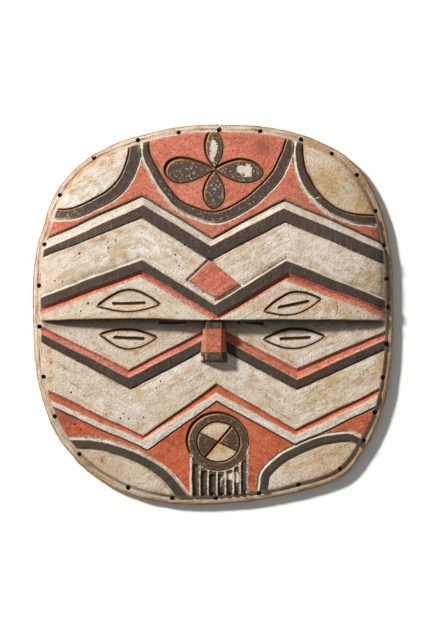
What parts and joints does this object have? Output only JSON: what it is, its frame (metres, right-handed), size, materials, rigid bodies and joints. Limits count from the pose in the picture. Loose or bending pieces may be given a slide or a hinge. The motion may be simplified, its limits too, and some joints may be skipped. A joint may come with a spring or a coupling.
{
  "type": "kidumu mask",
  "caption": "Flat, round-cornered carved wooden dance mask with an overhanging upper half, slit eyes, block nose, zigzag bands in red, black and cream, a hollow back and a pierced rim",
  "frame": {"origin": "centre of the bounding box in plan, at the height of the flat back rim that the mask lies on", "axes": "+Z out of the face, +Y towards the top of the face, +X to the right as the face is looked at"},
  "size_m": [0.3362, 0.3548, 0.0469],
  "materials": {
    "painted_wood": "matte, worn pigment in cream, red and black over carved wood"
  },
  "bodies": {
    "root": {"mask": "painted_wood"}
  },
  "joints": []
}
